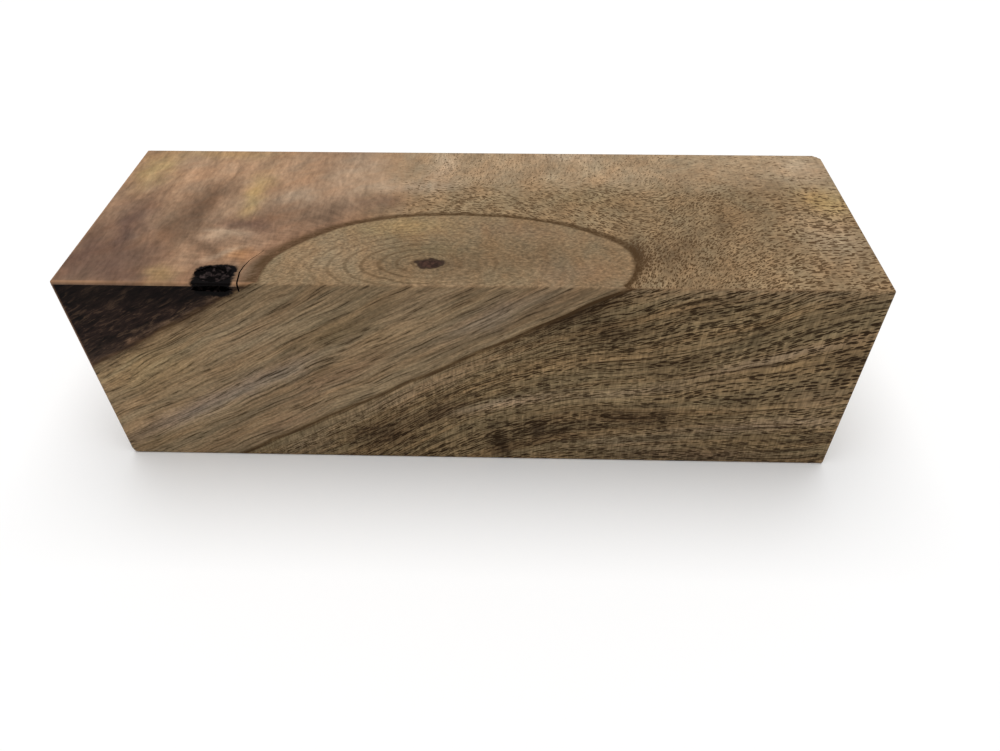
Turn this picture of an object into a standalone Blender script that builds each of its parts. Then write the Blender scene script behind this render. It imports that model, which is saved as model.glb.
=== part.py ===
"""A stabilised mango wood block: one sawn and sanded length of wood with a knot in it.

Metres, +Z up. +X runs along the block, +Y from its front face to its back face.
The origin is under the middle of the block, on the surface that it lies on.
"""
import math
import random

import bmesh
import bpy
from mathutils import Vector

# Driving dimensions
LENGTH = 0.1330              # sawn length
DEPTH = 0.0440               # front face to back face
HEIGHT = 0.0410              # base to top face
FIBRE_LENGTH = 0.0004        # how far the torn fibres stand out of the left end
ARRIS_EASE = 0.00035         # what sanding took off every arris
BLUNT_BACK_CORNER = 0.0011   # knocked corner: top, back, right
BLUNT_FOOT_CORNER = 0.0007   # knocked corner: base, front, left
WELD_GAP = 0.00001           # points closer than this are one point

# Finish, with linear colour
WOOD_COLOUR = (0.262, 0.181, 0.112, 1.0)
WOOD_ROUGHNESS = 0.55

# The box that holds the block and its fibres is centred on the origin
LEFT = -(LENGTH + FIBRE_LENGTH) / 2 + FIBRE_LENGTH
RIGHT = LEFT + LENGTH
FRONT = -DEPTH / 2
BACK = DEPTH / 2

# Bark pocket at the top front arris: a shallow pit in the top face, a deeper one in the front face
PIT_WIDTH = 0.0060
PIT_REACH = 0.0044           # from the arris towards the back
PIT_DEPTH = 0.0005
PIT_X = LEFT + 0.0256
VOID_WIDTH = 0.0066
VOID_HEIGHT = 0.0012
VOID_DEPTH = 0.0016
VOID_X = LEFT + 0.0258
VOID_DROP = 0.0011           # from the top face down to the middle of the void
PIT_LUMPS = 0.12             # unevenness of the bark, as a share of each radius
PIT_SEED = 11
VOID_SEED = 12

# Drying crack in the top face, from the front arris round the pocket
CRACK_WIDTH = 0.00028
CRACK_DEPTH = 0.0016
CRACK_TAPER = 0.8            # share of its width that the crack loses by its far end
CRACK_START = LEFT + 0.0301
CRACK_PATH = ((0.0, -0.0004), (-0.0004, 0.0030), (-0.0002, 0.0045), (0.0003, 0.0063), (0.0013, 0.0080),
              (0.0020, 0.0094))

# Torn fibres along the upper part of the front left arris
FIBRE_COUNT = 22
FIBRE_SPAN = 0.0100
FIBRE_SEED = 7
FIBRE_SHORTEST = 0.45        # share of the full reach
FIBRE_RADIUS = 0.00033
FIBRE_SIDES = 5
FIBRE_ROOT = 0.0006          # how deep a fibre's root sits in the block
FIBRE_CLEAR = 0.0008         # from the arris to the first fibres
FIBRE_SCATTER = 0.0005
LONGEST_FIBRE = 3            # the one that sets the full reach


def clear_scene():
    for scene_object in list(bpy.data.objects):
        bpy.data.objects.remove(scene_object, do_unlink=True)


def new_collection(name):
    collection = bpy.data.collections.new(name)
    bpy.context.scene.collection.children.link(collection)
    return collection


def move_to(scene_object, collection):
    for holder in list(scene_object.users_collection):
        holder.objects.unlink(scene_object)
    collection.objects.link(scene_object)


def wood_material():
    """Sanded mango wood with resin in its pores: warm grey-brown, satin."""
    material = bpy.data.materials.new("stabilised_mango_wood")
    material.use_nodes = True
    shader = material.node_tree.nodes["Principled BSDF"]
    shader.inputs["Base Color"].default_value = WOOD_COLOUR
    shader.inputs["Roughness"].default_value = WOOD_ROUGHNESS
    shader.inputs["Metallic"].default_value = 0.0
    material.diffuse_color = WOOD_COLOUR
    return material


def apply_modifier(scene_object, modifier):
    bpy.context.view_layer.objects.active = scene_object
    bpy.ops.object.modifier_apply(modifier=modifier.name)


def sawn_block(collection):
    """The rectangular block with its two knocked corners and its eased arrises."""
    bpy.ops.mesh.primitive_cube_add(size=1.0, location=((LEFT + RIGHT) / 2, 0.0, HEIGHT / 2))
    block = bpy.context.object
    block.name = "mango_wood_block"
    block.scale = (LENGTH, DEPTH, HEIGHT)
    bpy.ops.object.transform_apply(location=True, rotation=True, scale=True)
    move_to(block, collection)

    blunt_corner(block, Vector((RIGHT, BACK, HEIGHT)), BLUNT_BACK_CORNER)
    blunt_corner(block, Vector((LEFT, FRONT, 0.0)), BLUNT_FOOT_CORNER)

    ease = block.modifiers.new("eased_arrises", "BEVEL")
    ease.width = ARRIS_EASE
    ease.segments = 2
    ease.limit_method = "ANGLE"
    ease.angle_limit = math.radians(30.0)
    return block


def blunt_corner(block, corner, size):
    mesh = bmesh.new()
    mesh.from_mesh(block.data)
    nearest = min(mesh.verts, key=lambda vert: (vert.co - corner).length)
    bmesh.ops.bevel(mesh, geom=[nearest], offset=size, segments=1, affect="VERTICES")
    mesh.to_mesh(block.data)
    mesh.free()


def lump(name, centre, radii, seed, collection):
    """A lumpy ellipsoid, the shape of a pit that is left where bark crumbles out."""
    bpy.ops.mesh.primitive_ico_sphere_add(subdivisions=3, radius=1.0)
    pit = bpy.context.object
    pit.name = name
    draw = random.Random(seed)
    for vert in pit.data.vertices:
        swell = 1.0 + PIT_LUMPS * draw.uniform(-1.0, 1.0)
        vert.co = Vector((centre[i] + vert.co[i] * radii[i] * swell for i in range(3)))
    make_cutter(pit, collection)
    return pit


def crack_cutter(collection):
    """A thin upright blade that follows the crack and narrows to nothing at its far end."""
    last = len(CRACK_PATH) - 1
    left_side = []
    right_side = []
    for index, (along, back) in enumerate(CRACK_PATH):
        half_width = CRACK_WIDTH / 2 * (1.0 - CRACK_TAPER * index / last)
        left_side.append(Vector((CRACK_START + along - half_width, FRONT + back, 0.0)))
        right_side.append(Vector((CRACK_START + along + half_width, FRONT + back, 0.0)))
    outline = left_side + list(reversed(right_side))

    curve = bpy.data.curves.new("crack", "CURVE")
    curve.dimensions = "2D"
    curve.fill_mode = "BOTH"
    curve.extrude = CRACK_DEPTH
    spline = curve.splines.new("POLY")
    spline.points.add(len(outline) - 1)
    for point, place in zip(spline.points, outline):
        point.co = (place.x, place.y, 0.0, 1.0)
    spline.use_cyclic_u = True
    drawn = bpy.data.objects.new("crack_outline", curve)
    drawn.location = (0.0, 0.0, HEIGHT)
    collection.objects.link(drawn)
    bpy.context.view_layer.update()

    evaluated = drawn.evaluated_get(bpy.context.evaluated_depsgraph_get())
    blade_mesh = bpy.data.meshes.new_from_object(evaluated)
    blade = bpy.data.objects.new("crack_cutter", blade_mesh)
    collection.objects.link(blade)
    blade.matrix_world = drawn.matrix_world
    bpy.data.objects.remove(drawn, do_unlink=True)

    welded = bmesh.new()
    welded.from_mesh(blade_mesh)
    bmesh.ops.remove_doubles(welded, verts=welded.verts, dist=WELD_GAP)
    bmesh.ops.recalc_face_normals(welded, faces=welded.faces)
    welded.to_mesh(blade_mesh)
    welded.free()
    make_cutter(blade, collection)
    return blade


def make_cutter(cutter, collection):
    move_to(cutter, collection)
    cutter.hide_render = True
    cutter.display_type = "WIRE"


def fuse_torn_fibres(block):
    """Short tapered fibres that the saw lifted along the upper part of the front left arris."""
    draw = random.Random(FIBRE_SEED)
    fibres = bpy.data.collections.new("torn_fibres")
    bpy.context.scene.collection.children.link(fibres)
    for index in range(FIBRE_COUNT):
        fall = (index + draw.uniform(0.2, 0.8)) / FIBRE_COUNT * FIBRE_SPAN
        inward = draw.uniform(0.0, FIBRE_SCATTER)
        reach = FIBRE_LENGTH * draw.uniform(FIBRE_SHORTEST, 1.0)
        if index == LONGEST_FIBRE:
            reach = FIBRE_LENGTH
        base = Vector((LEFT, FRONT + FIBRE_CLEAR + inward, HEIGHT - FIBRE_CLEAR - fall))
        bpy.ops.mesh.primitive_cone_add(
            vertices=FIBRE_SIDES,
            radius1=FIBRE_RADIUS,
            radius2=0.0,
            depth=reach + FIBRE_ROOT,
            location=base + Vector(((FIBRE_ROOT - reach) / 2, 0.0, 0.0)),
            rotation=(0.0, -math.pi / 2, 0.0),
        )
        fibre = bpy.context.object
        fibre.name = f"torn_fibre_{index}"
        move_to(fibre, fibres)

    union = block.modifiers.new("torn_fibres", "BOOLEAN")
    union.operation = "UNION"
    union.operand_type = "COLLECTION"
    union.collection = fibres
    union.solver = "EXACT"
    apply_modifier(block, block.modifiers["eased_arrises"])
    apply_modifier(block, union)
    for fibre in list(fibres.objects):
        bpy.data.objects.remove(fibre, do_unlink=True)
    bpy.data.collections.remove(fibres)


def cut_pockets(block, cutters):
    """The bark pocket's two pits and the crack, cut out of the block one after another."""
    pit = lump("bark_pit", (PIT_X, FRONT + ARRIS_EASE + PIT_REACH / 2, HEIGHT),
               (PIT_WIDTH / 2, PIT_REACH / 2, PIT_DEPTH), PIT_SEED, cutters)
    void = lump("bark_void", (VOID_X, FRONT, HEIGHT - VOID_DROP),
                (VOID_WIDTH / 2, VOID_DEPTH, VOID_HEIGHT / 2), VOID_SEED, cutters)
    crack = crack_cutter(cutters)
    for cutter in (pit, void, crack):
        cut = block.modifiers.new(cutter.name, "BOOLEAN")
        cut.operation = "DIFFERENCE"
        cut.object = cutter
        cut.solver = "EXACT"


def main():
    clear_scene()
    parts = new_collection("mango_wood_block")
    cutters = new_collection("cutters")
    block = sawn_block(parts)
    fuse_torn_fibres(block)
    cut_pockets(block, cutters)
    block.data.materials.append(wood_material())


main()
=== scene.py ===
"""A stabilised mango wood block with a slanting knot, as it lies on a pale studio floor."""
import math
import random

import bpy
import numpy as np
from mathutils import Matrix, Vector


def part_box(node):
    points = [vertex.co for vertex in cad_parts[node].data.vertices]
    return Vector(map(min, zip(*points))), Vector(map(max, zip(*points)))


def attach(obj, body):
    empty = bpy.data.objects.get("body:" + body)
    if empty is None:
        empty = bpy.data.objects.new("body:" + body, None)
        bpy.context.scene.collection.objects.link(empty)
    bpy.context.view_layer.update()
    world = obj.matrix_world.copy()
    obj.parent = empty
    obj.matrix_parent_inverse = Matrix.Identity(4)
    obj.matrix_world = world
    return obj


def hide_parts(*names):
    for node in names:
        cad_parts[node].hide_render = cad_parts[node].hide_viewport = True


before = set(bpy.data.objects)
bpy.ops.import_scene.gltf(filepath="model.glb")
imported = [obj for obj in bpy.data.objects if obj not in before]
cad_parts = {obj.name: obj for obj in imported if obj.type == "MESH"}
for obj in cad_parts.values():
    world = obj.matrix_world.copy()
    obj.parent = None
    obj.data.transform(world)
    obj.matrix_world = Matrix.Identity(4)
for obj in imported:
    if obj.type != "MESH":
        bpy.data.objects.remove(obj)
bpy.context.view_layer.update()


# The block
# Mango wood sawn square on all six faces and sanded, with clear resin cured in its pores. Sanding left the
# arrises crisp and only just eased, and two corners were knocked a little blunt.
MM = 0.001
FIBRE_LENGTH = 0.4 * MM        # how far the torn fibres stand out of the left end
ARRIS_EASE = 0.35 * MM         # what sanding took off every arris
BLUNT_BACK_CORNER = 1.1 * MM   # the knocked corner: top, back, right
BLUNT_FOOT_CORNER = 0.7 * MM   # the knocked corner: base, front, left
CORNER_INSET = 0.6 * ARRIS_EASE  # how far inside the sharp corner the eased arrises already meet
FINE_CUTS = 63                 # cuts across each cell of the fine surface, about 0.7 mm apart
SMOOTH_ANGLE = math.radians(35.0)

wood_low, wood_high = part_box("mango_wood_block")
left, right = wood_low.x + FIBRE_LENGTH, wood_high.x
front, back = wood_low.y, wood_high.y
base, top = wood_low.z, wood_high.z
length, depth, height = right - left, back - front, top - base


def near(value, target, slack=0.02 * MM):
    """Tells whether two places are the same but for rounding."""
    return abs(value - target) < slack


def select_points(mesh, wanted):
    """Selects the points whose place passes the test, with the edges between them."""
    bpy.ops.object.mode_set(mode="EDIT")
    bpy.ops.mesh.select_mode(type="VERT")
    bpy.ops.mesh.select_all(action="DESELECT")
    bpy.ops.object.mode_set(mode="OBJECT")
    for vert in mesh.vertices:
        vert.select = wanted(vert.co)
    bpy.ops.object.mode_set(mode="EDIT")


bpy.ops.object.select_all(action="DESELECT")
bpy.ops.mesh.primitive_cube_add(
    size=1.0, location=((left + right) / 2, 0.0, (base + top) / 2), scale=(length, depth, height)
)
block = bpy.context.object
block.name = "mango_block"
bpy.ops.object.transform_apply(location=True, rotation=True, scale=True)

# Three nearly cubic cells along the block, then one fine even grid on every face
bpy.ops.object.mode_set(mode="EDIT")
for third in (1, 2):
    bpy.ops.mesh.select_all(action="SELECT")
    bpy.ops.mesh.bisect(plane_co=(left + length * third / 3, 0.0, 0.0), plane_no=(1.0, 0.0, 0.0))
bpy.ops.mesh.select_all(action="SELECT")
bpy.ops.mesh.subdivide(number_cuts=FINE_CUTS)


def is_arris(edge, points):
    """Tells whether an edge of the fine grid lies where two faces of the block meet."""
    ends = [points[i].co for i in edge.vertices]
    sides = 0
    for axis, planes in ((0, (left, right)), (1, (front, back)), (2, (base, top))):
        sides += any(near(ends[0][axis], p) and near(ends[1][axis], p) for p in planes)
    return sides == 2


bpy.ops.mesh.select_mode(type="EDGE")
bpy.ops.mesh.select_all(action="DESELECT")
bpy.ops.object.mode_set(mode="OBJECT")
for edge in block.data.edges:
    edge.select = is_arris(edge, block.data.vertices)
bpy.ops.object.mode_set(mode="EDIT")
bpy.ops.mesh.bevel(offset=ARRIS_EASE, segments=3, affect="EDGES", clamp_overlap=False)


def blunt(corner, size):
    """Pushes the points round a corner back onto a small slanting flat, as a knock leaves it.

    The size is how far the flat lies from the sharp corner, straight inward.
    """
    inward = [(-1.0 if corner[i] > middle else 1.0) / math.sqrt(3.0)
              for i, middle in enumerate((0.0, 0.0, (base + top) / 2))]
    for vert in block.data.vertices:
        gap = sum((vert.co[i] - corner[i]) * inward[i] for i in range(3))
        if gap < size:
            for i in range(3):
                vert.co[i] += (size - gap) * inward[i]


bpy.ops.object.mode_set(mode="OBJECT")
blunt((right, back, top), BLUNT_BACK_CORNER / math.sqrt(3.0) + CORNER_INSET)
blunt((left, front, base), BLUNT_FOOT_CORNER / math.sqrt(3.0) + CORNER_INSET)


# The bark pocket and the drying crack
# Where the branch grew against the trunk a little bark was shut in. It has crumbled out at the top front
# arris in two shallow pits, and a thin crack runs back from the arris beside them.
PIT_WIDTH = 6.0 * MM           # the pit in the top face
PIT_REACH = 4.4 * MM           # from the arris toward the back
PIT_DEPTH = 0.5 * MM
PIT_X = left + 25.6 * MM
VOID_WIDTH = 6.6 * MM          # the deeper pit in the front face
VOID_HEIGHT = 1.2 * MM
VOID_DEPTH = 1.6 * MM
VOID_X = left + 25.8 * MM
VOID_DROP = 1.1 * MM           # from the top face down to its middle
LUMPS = 0.08                   # how far the bark swells in lumps and in crumbs, as a share of each radius
CRUMBS = 0.056
CRACK_WIDTH = 0.28 * MM
CRACK_DEPTH = 1.6 * MM
CRACK_TAPER = 0.8              # the share of its width that the crack loses by its far end
CRACK_START = left + 30.1 * MM
# The crack's line from its start: mm along the block and mm back from the front face
CRACK_PATH = ((0.0, -0.4), (-0.4, 3.0), (-0.2, 4.5), (0.3, 6.3), (1.3, 8.0), (2.0, 9.4))

bark = bpy.data.materials.new("crumbled_bark")
wood = bpy.data.materials.new("stabilised_mango")
block.data.materials.append(wood)


def crumbled_pit(name, centre, radii, phase):
    """A lumpy ellipsoid of bark, crumbs and all, to be cut out of the block. The phase varies its lumps."""
    bpy.ops.object.select_all(action="DESELECT")
    bpy.ops.mesh.primitive_ico_sphere_add(subdivisions=5, radius=1.0)
    pit = bpy.context.object
    pit.name = name
    for vert in pit.data.vertices:
        u, v, w = vert.co
        coarse = math.sin(5.1 * u + phase) * math.sin(4.3 * v + 2.0 * phase) + math.sin(6.7 * w + 3.1 * u)
        fine = math.sin(17.0 * u + 9.0 * v + phase) * math.sin(21.0 * v - 12.0 * w)
        swell = 1.0 + LUMPS * coarse + CRUMBS * fine
        vert.co = [centre[i] + (u, v, w)[i] * radii[i] * swell for i in range(3)]
    pit.data.materials.append(bark)
    return pit


def crack_blade():
    """The crack as a thin upright blade: a square is drawn out along its line and narrows as it goes."""
    bpy.ops.object.select_all(action="DESELECT")
    bpy.ops.mesh.primitive_plane_add(size=1.0)
    blade = bpy.context.object
    blade.name = "crack_blade"
    mesh = blade.data
    stops = [(CRACK_START + along * MM, front + inward * MM) for along, inward in CRACK_PATH]
    halves = [CRACK_WIDTH / 2 * (1.0 - CRACK_TAPER * step / (len(stops) - 1)) for step in range(len(stops))]
    # The square becomes the crack's first length, and each extrusion of its far edge adds the next one
    for vert in mesh.vertices:
        side = -1.0 if vert.co.x < 0 else 1.0
        step = 0 if vert.co.y < 0 else 1
        vert.co = (stops[step][0] + side * halves[step], stops[step][1], top + CRACK_DEPTH)
    for step in range(2, len(stops)):
        last_x, last_y = stops[step - 1]
        select_points(mesh, lambda co: near(co.y, last_y))
        bpy.ops.mesh.extrude_region_move()
        bpy.ops.object.mode_set(mode="OBJECT")
        for vert in mesh.vertices:
            if vert.select:
                side = -1.0 if vert.co.x < last_x else 1.0
                vert.co = (stops[step][0] + side * halves[step], stops[step][1], top + CRACK_DEPTH)
    bpy.ops.object.mode_set(mode="EDIT")
    bpy.ops.mesh.select_all(action="SELECT")
    bpy.ops.mesh.extrude_region_move(TRANSFORM_OT_translate={"value": (0.0, 0.0, -2.0 * CRACK_DEPTH)})
    bpy.ops.mesh.select_all(action="SELECT")
    bpy.ops.mesh.normals_make_consistent(inside=False)
    bpy.ops.object.mode_set(mode="OBJECT")
    mesh.materials.append(bark)
    return blade


def shape_with(tool, operation):
    """Joins a shape to the block, or cuts it out, and removes the shape."""
    boolean = block.modifiers.new(tool.name, "BOOLEAN")
    boolean.operation = operation
    boolean.object = tool
    boolean.solver = "EXACT"
    boolean.material_mode = "TRANSFER"
    bpy.ops.object.select_all(action="DESELECT")
    block.select_set(True)
    bpy.context.view_layer.objects.active = block
    bpy.ops.object.modifier_apply(modifier=boolean.name)
    bpy.data.objects.remove(tool, do_unlink=True)


pit_centre = (PIT_X, front + ARRIS_EASE + PIT_REACH / 2, top)
pit_radii = (PIT_WIDTH / 2, PIT_REACH / 2, PIT_DEPTH)
void_centre = (VOID_X, front, top - VOID_DROP)
void_radii = (VOID_WIDTH / 2, VOID_DEPTH, VOID_HEIGHT / 2)
shape_with(crumbled_pit("bark_pit", pit_centre, pit_radii, 0.4), "DIFFERENCE")
shape_with(crumbled_pit("bark_void", void_centre, void_radii, 1.9), "DIFFERENCE")
shape_with(crack_blade(), "DIFFERENCE")


# The torn fibres
# The saw lifted a fringe of short fibres along the upper part of the front left arris. They are wisps of
# pale wood, thin as hair, each still rooted in the block.
FIBRE_COUNT = 54
FIBRE_SPAN = 10.0 * MM         # how far down the arris the fringe runs
FIBRE_RADIUS = 0.06 * MM
FIBRE_TIP = 0.15               # a tip's radius, as a share of the root's
FIBRE_ROOT = 0.5 * MM          # how deep a fibre's root sits in the block
FIBRE_CLEAR = 0.5 * MM         # from the arrises to the first fibres
FIBRE_ROWS = 3
FIBRE_ROW_GAP = 0.32 * MM
FIBRE_DROOP = math.radians(8.0)

draw = random.Random(7)
bpy.ops.object.select_all(action="DESELECT")
fibres = []
for index in range(FIBRE_COUNT):
    fall = (index + 0.3 * draw.random()) / FIBRE_COUNT * FIBRE_SPAN
    reach = FIBRE_LENGTH * draw.uniform(0.35, 1.0)
    droop = draw.uniform(0.0, FIBRE_DROOP)
    row = front + FIBRE_CLEAR + (index % FIBRE_ROWS + 0.4 * draw.random()) * FIBRE_ROW_GAP
    bpy.ops.mesh.primitive_cone_add(
        vertices=5, radius1=FIBRE_RADIUS * draw.uniform(0.7, 1.2), radius2=FIBRE_RADIUS * FIBRE_TIP,
        depth=reach + FIBRE_ROOT, rotation=(0.0, -math.pi / 2 - droop, 0.0),
        location=(left + (FIBRE_ROOT - reach) / 2, row, top - FIBRE_CLEAR - fall),
    )
    fibres.append(bpy.context.object)
for fibre in fibres:
    fibre.select_set(True)
bpy.ops.object.transform_apply(location=True, rotation=True, scale=True)
bpy.ops.object.join()
fringe = bpy.context.object
fringe.name = "torn_fibres"
fringe.data.materials.append(wood)
shape_with(fringe, "UNION")


# How the wood grew
# A branch leaves the trunk at 30 degrees, so the top face cuts it to a long ellipse and the front face cuts
# it lengthwise. The trunk's fibres swerve round it. Every point of the surface keeps where it lies in that
# growth, in millimetres along and across the fibres, and the finish below is drawn along those.
BRANCH_PITH = (-6.4, -16.0, 41.0)    # where the pith comes out of the top face, from the middle of the block
BRANCH_RISE = math.radians(30.0)
BRANCH_RADIUS = 15.0
BRANCH_OFFSET = (1.55, 0.2)          # the pith grew out of centre by this much
BRANCH_LEAN = (3.1, 1.0)             # its rings lean forward above it and back below it by this much
LEAN_MOST = 1.05                     # the lean stops growing at this many radii from the pith
FRONT_SWELL = (0.61, 0.69)           # in the front face the branch is this much thicker above and below
FRONT_SKIN = (0.1, 0.45)             # the swelling fades between these depths behind the front face
SKIN_THIN = 0.95                     # the dark skin round the branch, and how much thicker it is above it
SKIN_ABOVE = 0.9
SKIN_AT_FRONT = 0.75                 # the share of it that the front face shows
SKIN_LOSS = 0.4                      # under the branch it thins by this much toward the top front arris
SKIN_LOSS_PLACE = (-15.0, -20.0)
PART_ROUND = 0.6                     # how closely the fibres part sideways round the branch
LAYER_SLOPE = 0.12                   # the growth layers rise toward the back by this much per mm
BARK_WEDGE = 0.25                    # the shut-in bark grows thicker by this much per mm downward
BARK_THICKNESS = 0.15                # from this at the top
BARK_BELOW_TOP = 0.6                 # it ends this far under the top face
POCKET_BLACK_DROP = 2.3                    # how far the black painted round the pocket reaches down the front face
NO_POCKET_BLACK = 9.0                        # the distance that stands for a face with none of it
FAR = 100.0                          # farther away than any place on the block
FACE_SKIN = 0.1                      # a point this close to a face's plane belongs to that face
TINY = 1e-12                         # keeps a sum of shares from being nothing

# How steeply the trunk's fibres climb to the right on the front face: place along, height, degrees
CLIMB = (
    (-24, 6, 30), (-14, 5, 37), (-5, 7, 31), (3, 6, 27), (11, 5, 19), (20, 6, 10), (34, 5, 4), (48, 5, 0),
    (61, 5, 5), (-12, 14, 36), (-3, 16, 30), (5, 15, 23), (12, 15, 12), (22, 15, 6), (32, 14, 4),
    (43, 13, 3), (54, 13, 7), (64, 13, 9), (5, 24, 27), (12, 24, 18), (18, 23, 8), (24, 23, 2),
    (31, 22, 14), (41, 22, 13), (52, 22, 12), (64, 20, 4), (12, 32, 28), (18, 31, 18), (24, 30, 8),
    (32, 31, 15), (42, 31, 18), (50, 32, 25), (62, 31, 15), (20, 38, 28), (30, 37, 21), (42, 38, 19),
    (52, 38, 24), (63, 38, 17),
)
# How the fibres turn in the top face: place along, place across, degrees
TURN = (
    (-8, 4, 0), (3, 4, -5), (10, 3, -14), (17, 1, -22), (24, 0, -28), (18, 7, -15), (28, -4, -40),
    (30, 4, -20), (33, -1, 55), (31, -9, 75), (31, -18, 80), (37, -3, 55), (38, 6, 55), (39, -15, 62),
    (45, 4, 36), (45, -6, 42), (45, -16, 42), (51, -2, 24), (51, -12, 32), (51, 8, 4), (57, 5, 0),
    (57, -6, 4), (57, -17, 14), (63, 6, -2), (63, -5, 5), (63, -17, 18), (5, 14, 92), (18, 15, 88),
    (32, 14, 72), (42, 15, 16), (52, 17, 12), (62, 16, 8),
)
FOLLOW_TO = 25.0                     # the fibres are followed to this place along the block
FOLLOW_STEPS = 40
CLIMB_REACH = (6.0, 5.0)             # how far each noted angle is felt, along and up or across
TURN_REACH = (5.0, 4.0)

points = np.empty(len(block.data.vertices) * 3)
block.data.vertices.foreach_get("co", points)
x, y, z = (points.reshape(-1, 3) / MM).T
x = x - (left + right) / 2 / MM      # from here on x is measured from the middle of the block
half_length, half_depth, tall = length / 2 / MM, depth / 2 / MM, height / MM

away = x - BRANCH_PITH[0]
beside = y - BRANCH_PITH[1]
rise = z - BRANCH_PITH[2]
along_branch = away * math.cos(BRANCH_RISE) + rise * math.sin(BRANCH_RISE)
across_branch = rise * math.cos(BRANCH_RISE) - away * math.sin(BRANCH_RISE)
up = across_branch + BRANCH_OFFSET[0]
lean = np.clip(up / BRANCH_RADIUS, -LEAN_MOST, LEAN_MOST) ** 3
beside = beside + np.where(up > 0.0, *BRANCH_LEAN) * lean
ring = np.hypot(up, beside + BRANCH_OFFSET[1])
above, below = (np.maximum(side / np.maximum(ring, 1.0), 0.0) ** 1.5 for side in (up, -up))
behind_front = np.clip((y + half_depth - FRONT_SKIN[0]) / (FRONT_SKIN[1] - FRONT_SKIN[0]), 0.0, 1.0)
outside = ring - BRANCH_RADIUS - (FRONT_SWELL[0] * above + FRONT_SWELL[1] * below) * (1.0 - behind_front)


def between(u, v, noted, reach_u, reach_v):
    """The noted angles, in radians, blended at every point by how near each was noted."""
    angle = np.zeros(len(u))
    shares = np.zeros(len(u))
    for place_u, place_v, degrees in noted:
        share = np.exp(-((u - place_u) / reach_u) ** 2 - ((v - place_v) / reach_v) ** 2) + TINY
        angle += share * math.radians(degrees)
        shares += share
    return angle / shares


layer = z.copy()
at = x.copy()
stride = (FOLLOW_TO - x) / FOLLOW_STEPS
for _ in range(FOLLOW_STEPS):
    layer += np.tan(between(at, np.clip(layer, 0.0, tall), CLIMB, *CLIMB_REACH)) * stride
    at += stride
layer += LAYER_SLOPE * (y + half_depth)
parting = (BRANCH_RADIUS / np.maximum(ring, BRANCH_RADIUS)) ** 2
sideways = (beside + BRANCH_OFFSET[1]) * (1.0 - PART_ROUND * parting)
around = np.arctan2(beside + BRANCH_OFFSET[1], up) * BRANCH_RADIUS
on_top = (z > tall - FACE_SKIN).astype(float)
on_long_side = (abs(y) > half_depth - FACE_SKIN).astype(float)
turn = between(x, y, TURN, *TURN_REACH) * on_top

# How thick the skin is
skin = SKIN_THIN * (SKIN_AT_FRONT + (1.0 - SKIN_AT_FRONT) * behind_front) + SKIN_ABOVE * above * behind_front
loss = np.clip((SKIN_LOSS_PLACE[0] - y) / (SKIN_LOSS_PLACE[0] - SKIN_LOSS_PLACE[1]), 0.0, 1.0)
skin -= SKIN_LOSS * on_top * (up < 0.0) * loss

# Where the bark is shut in: above the branch, in a wedge behind the front face
bark_over = outside - 0.3 - FAR * (across_branch < 0.0) - FAR * (tall - z < BARK_BELOW_TOP)
bark_behind = BARK_WEDGE * (tall - z) + BARK_THICKNESS - half_depth - y

# How far each point lies from the nearest arris, and from the rim of the pocket in the top and front faces
gaps = np.sort(np.stack([half_length - abs(x), half_depth - abs(y), tall / 2 - abs(z - tall / 2)]), axis=0)
from_arris = np.maximum(gaps[1], 0.0)
at_front = y < -half_depth + 0.2
pit_x, pit_y = (PIT_X - (left + right) / 2) / MM, (front + ARRIS_EASE + PIT_REACH / 2) / MM
pit_along = (abs(x - pit_x) / (PIT_WIDTH / 2 / MM)) ** 4
pit_back = (np.maximum(y - pit_y, 0.0) / (PIT_REACH / 2 / MM)) ** 4
pit_down = ((tall - z) / POCKET_BLACK_DROP) ** 4
from_pit = (pit_along + np.where(at_front, pit_down, pit_back)) ** 0.25
from_pit = (from_pit - 1.0) * PIT_WIDTH / 2 / MM
from_pit = np.where((tall - z > BARK_BELOW_TOP) & ~at_front, NO_POCKET_BLACK, from_pit)


def keep(name, kind, values):
    """Stores one value, vector or colour for every point of the block."""
    attribute = block.data.attributes.new(name, kind, "POINT")
    field = {"FLOAT": "value", "FLOAT_VECTOR": "vector", "FLOAT_COLOR": "color"}[kind]
    attribute.data.foreach_set(field, np.ascontiguousarray(values, dtype=np.float32).ravel())


keep("trunk_grain", "FLOAT_VECTOR", np.stack([x, layer, sideways], axis=1))
keep("branch_grain", "FLOAT_VECTOR", np.stack([along_branch, across_branch, beside], axis=1))
keep("outside_branch", "FLOAT", outside)
keep("collar", "FLOAT_VECTOR", np.stack([outside, around, along_branch], axis=1))
keep("skin", "FLOAT", skin)
keep("bark_over", "FLOAT", bark_over)
keep("bark_behind", "FLOAT", bark_behind)
keep("from_arris", "FLOAT", from_arris)
keep("from_pit", "FLOAT", from_pit)
keep("on_top", "FLOAT", on_top)
keep("on_long_side", "FLOAT", on_long_side)
keep("turn", "FLOAT", turn)


# The tones of the wood
# Mango is never one colour: above the branch the trunk is rosy and smoky with no open pores, to its right it
# is olive brown and full of them, and stains of gold, ash, umber and soot lie in both.
def linear(hex_colour):
    """An sRGB hex colour as linear red, green and blue."""
    shares = [int(hex_colour[i:i + 2], 16) / 255 for i in (1, 3, 5)]
    return [s / 12.92 if s <= 0.04045 else ((s + 0.055) / 1.055) ** 2.4 for s in shares]


TONES = {
    "rosy": "#8a6c55", "olive": "#917a5c", "blond": "#a0896d", "walnut": "#8b7555", "knot": "#8f795c",
    "gold": "#b39763", "ash": "#b09a82", "tan": "#ad7c53", "smoke": "#66503f", "umber": "#5c4934",
    "soot": "#33271c", "moss": "#6f6145", "rust": "#84614a", "grey": "#8c7e70", "blush": "#a98a6e",
    "plum": "#5f4a41",
}

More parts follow.
